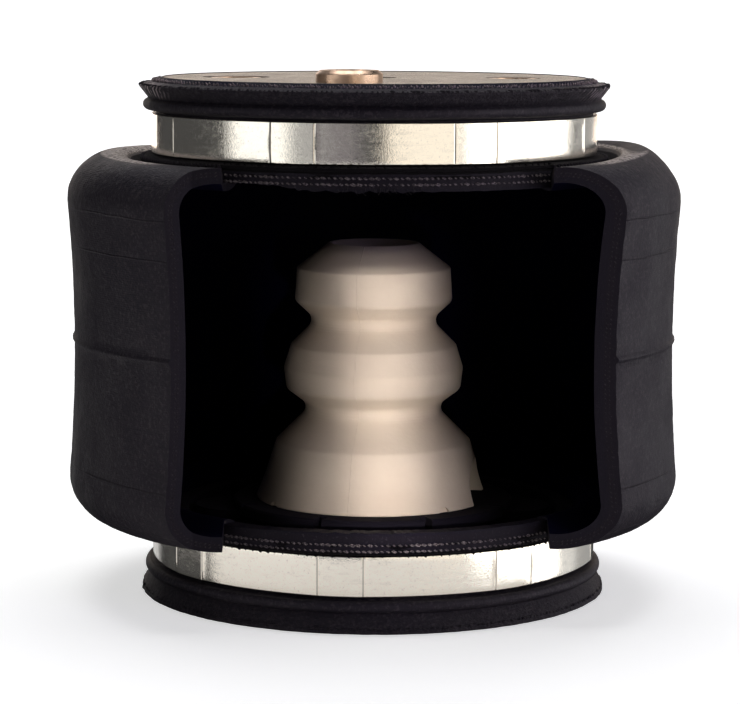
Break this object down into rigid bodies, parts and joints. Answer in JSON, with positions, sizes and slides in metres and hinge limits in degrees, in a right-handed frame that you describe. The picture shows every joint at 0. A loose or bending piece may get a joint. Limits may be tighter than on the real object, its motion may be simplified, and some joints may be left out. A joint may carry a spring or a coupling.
{
  "type": "air spring bellows",
  "caption": "Short sleeve air spring between two crimped end plates, its wall cut open to show the lobed jounce bumper inside.",
  "frame": {"origin": "centre of the lower mounting face, on the axis of the spring", "axes": "+Z along the axis to the upper mounting face; -Y towards the window cut in the wall"},
  "size_m": [0.1772, 0.1572, 0.1524],
  "materials": {
    "nylon": "moulded glass-filled nylon",
    "aluminium": "bright rolled strip",
    "cover_rubber": "matt, with the weave of the wrapping cloth pressed in",
    "ply_rubber": "cut rubber with cord ends",
    "liner_rubber": "smooth",
    "brass": "machined",
    "urethane": "matt cast urethane",
    "steel": "zinc plated"
  },
  "bodies": {
    "lower_end": {"lower_end_plate": "nylon", "lower_crimp_ring": "aluminium", "lower_left_insert": "brass", "lower_right_insert": "brass", "lower_centre_insert": "brass", "bumper": "urethane", "bumper_spacer_tube": "steel", "bumper_washer": "steel", "bumper_screw": "steel", "inner_liner": "liner_rubber", "inner_cord_ply": "ply_rubber", "outer_cord_ply": "ply_rubber", "outer_cover": "cover_rubber"},
    "upper_end": {"upper_end_plate": "nylon", "upper_crimp_ring": "aluminium", "air_port": "brass", "upper_left_insert": "brass", "upper_right_insert": "brass"}
  },
  "joints": [
    {"name": "spring_travel", "type": "slide", "parent": "lower_end", "child": "upper_end", "axis": [0, 0, 1], "range_m": [-0.0235, 0.034], "stiffness_N_per_m": 4000, "springref_m": 0.00068, "deforming": ["inner_liner", "inner_cord_ply", "outer_cord_ply", "outer_cover"]}
  ]
}
